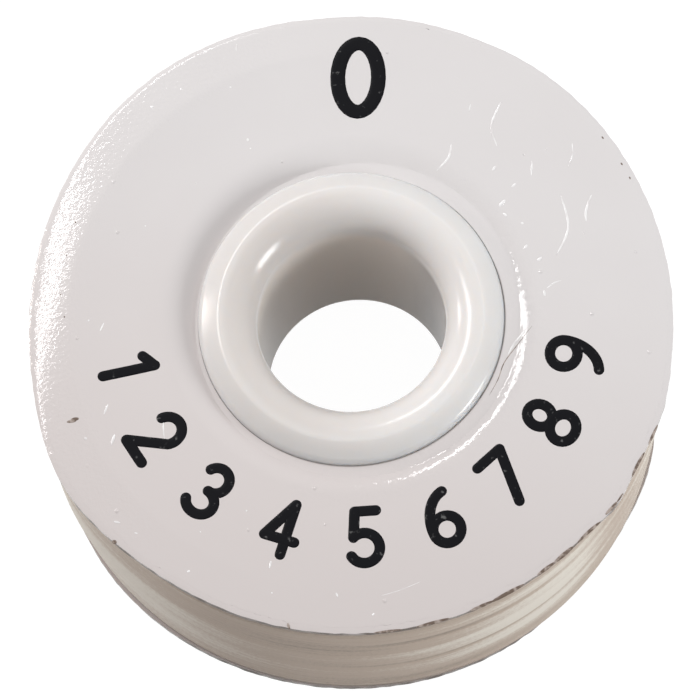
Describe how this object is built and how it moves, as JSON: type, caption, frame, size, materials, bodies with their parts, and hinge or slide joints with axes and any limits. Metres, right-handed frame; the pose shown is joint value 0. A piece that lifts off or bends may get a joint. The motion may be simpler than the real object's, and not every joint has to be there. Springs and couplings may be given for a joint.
{
  "type": "wound sewing machine bobbin",
  "caption": "Round bobbin of wound thread on a white plastic core with a through bore, rolled lips and thin glossy side discs, for a sewing machine's bobbin case.",
  "frame": {"origin": "on the bobbin's axis, in the plane of the lower lip's crown on which the bobbin stands", "axes": "+Z along the axis, from the plain lower side to the marked upper side; X and Y are alike, because every piece is round about Z"},
  "size_m": [0.0205, 0.0204, 0.009],
  "materials": {
    "core_plastic": "glossy, slightly translucent white",
    "thread": "satin off-white thread",
    "side_disc_film": "thin glossy white film with fine pimples and scratches"
  },
  "bodies": {
    "root": {"core": "core_plastic", "thread_winding": "thread", "upper_side_disc": "side_disc_film", "lower_side_disc": "side_disc_film"}
  },
  "joints": []
}
